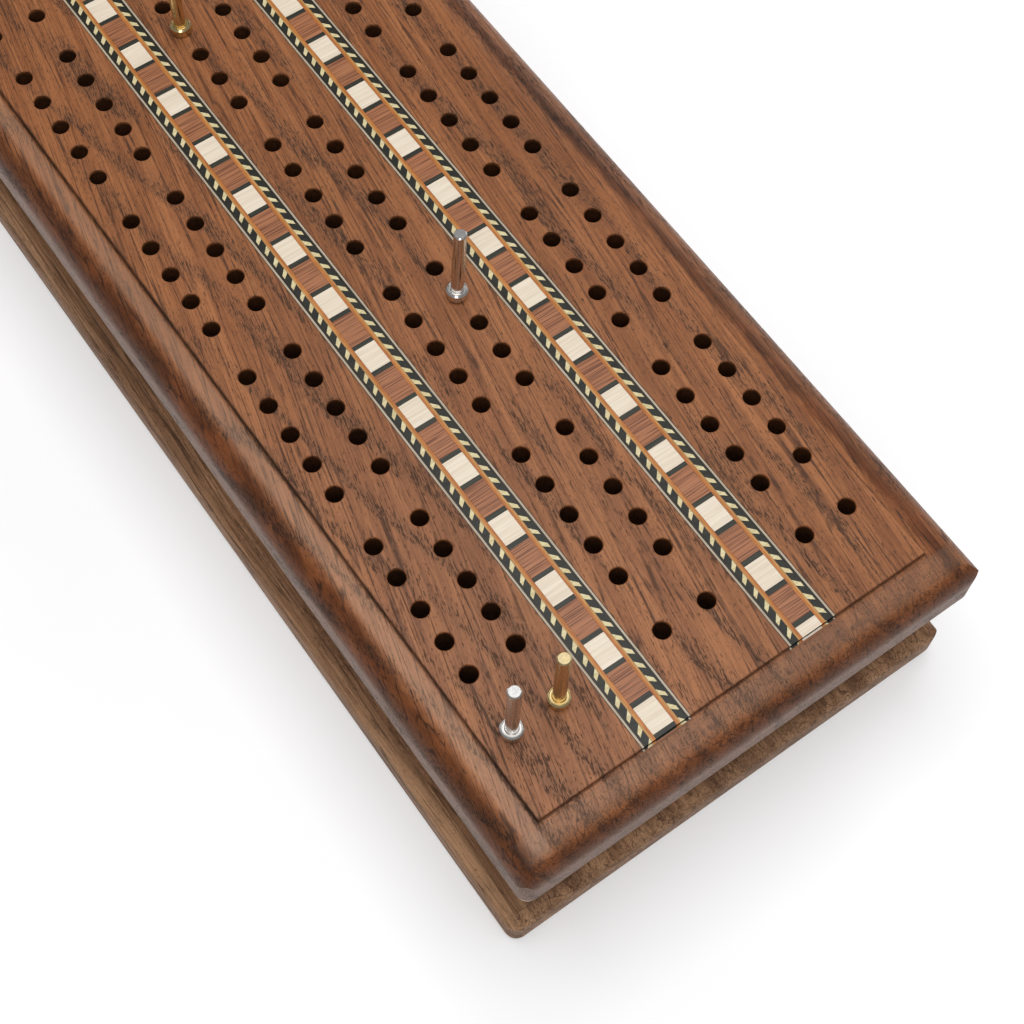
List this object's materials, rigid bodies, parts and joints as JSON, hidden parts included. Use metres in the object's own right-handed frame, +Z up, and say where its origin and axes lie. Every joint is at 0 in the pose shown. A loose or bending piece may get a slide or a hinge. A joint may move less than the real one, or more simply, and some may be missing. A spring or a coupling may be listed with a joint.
{
  "type": "cribbage board box with drawer",
  "caption": "Long wooden peg-scoring board on a shallow case, with rows of peg holes, inlaid bandings, loose metal pegs and a divided drawer that slides out at one end.",
  "frame": {"origin": "centre of the footprint, on the surface the felt feet stand on", "axes": "+X across the board, +Y along it from the start end to the drawer's mouth, +Z up"},
  "size_m": [0.098, 0.2964, 0.0595],
  "materials": {
    "board_wood": "stained open-grained hardwood under a satin varnish",
    "case_wood": "stained open-grained hardwood, satin",
    "inlay_wood": "dyed and natural veneers in a block and rope pattern, flush, satin",
    "drawer_wood": "pale hardwood, sanded and waxed",
    "dowel_wood": "pale hardwood, waxed",
    "knob_brass": "turned and polished",
    "peg_brass": "turned and polished",
    "peg_silver": "turned and polished, silver-coloured",
    "screw_steel": "zinc-plated",
    "felt": "pressed wool felt, dark green"
  },
  "bodies": {
    "box": {"top_board": "board_wood", "inlay_banding_left": "inlay_wood", "inlay_banding_right": "inlay_wood", "base_plate": "case_wood", "side_wall_left": "case_wood", "side_wall_right": "case_wood", "near_end_wall": "case_wood", "drawer_runner_left": "dowel_wood", "drawer_runner_right": "dowel_wood", "top_dowels": "dowel_wood", "base_screws": "screw_steel", "felt_feet": "felt"},
    "drawer": {"drawer_front": "case_wood", "drawer_side_left": "drawer_wood", "drawer_side_right": "drawer_wood", "drawer_back": "drawer_wood", "drawer_bottom": "drawer_wood", "peg_divider": "drawer_wood", "card_divider": "drawer_wood", "drawer_knob": "knob_brass", "knob_screw": "screw_steel", "drawer_pins": "screw_steel"},
    "peg_silver_start_body": {"peg_silver_start": "peg_silver"},
    "peg_brass_start_body": {"peg_brass_start": "peg_brass"},
    "peg_silver_middle_body": {"peg_silver_middle": "peg_silver"},
    "peg_brass_middle_body": {"peg_brass_middle": "peg_brass"}
  },
  "joints": [
    {"name": "drawer_slide", "type": "slide", "parent": "box", "child": "drawer", "axis": [0, 1, 0], "range_m": [0, 0.21]},
    {"name": "peg_silver_start_lift", "type": "slide", "parent": "box", "child": "peg_silver_start_body", "axis": [0, 0, 1], "range_m": [0, 0.03]},
    {"name": "peg_brass_start_lift", "type": "slide", "parent": "box", "child": "peg_brass_start_body", "axis": [0, 0, 1], "range_m": [0, 0.03]},
    {"name": "peg_silver_middle_lift", "type": "slide", "parent": "box", "child": "peg_silver_middle_body", "axis": [0.0454, 0, 0.999], "range_m": [0, 0.03]},
    {"name": "peg_brass_middle_lift", "type": "slide", "parent": "box", "child": "peg_brass_middle_body", "axis": [0, 0, 1], "range_m": [0, 0.03]}
  ]
}
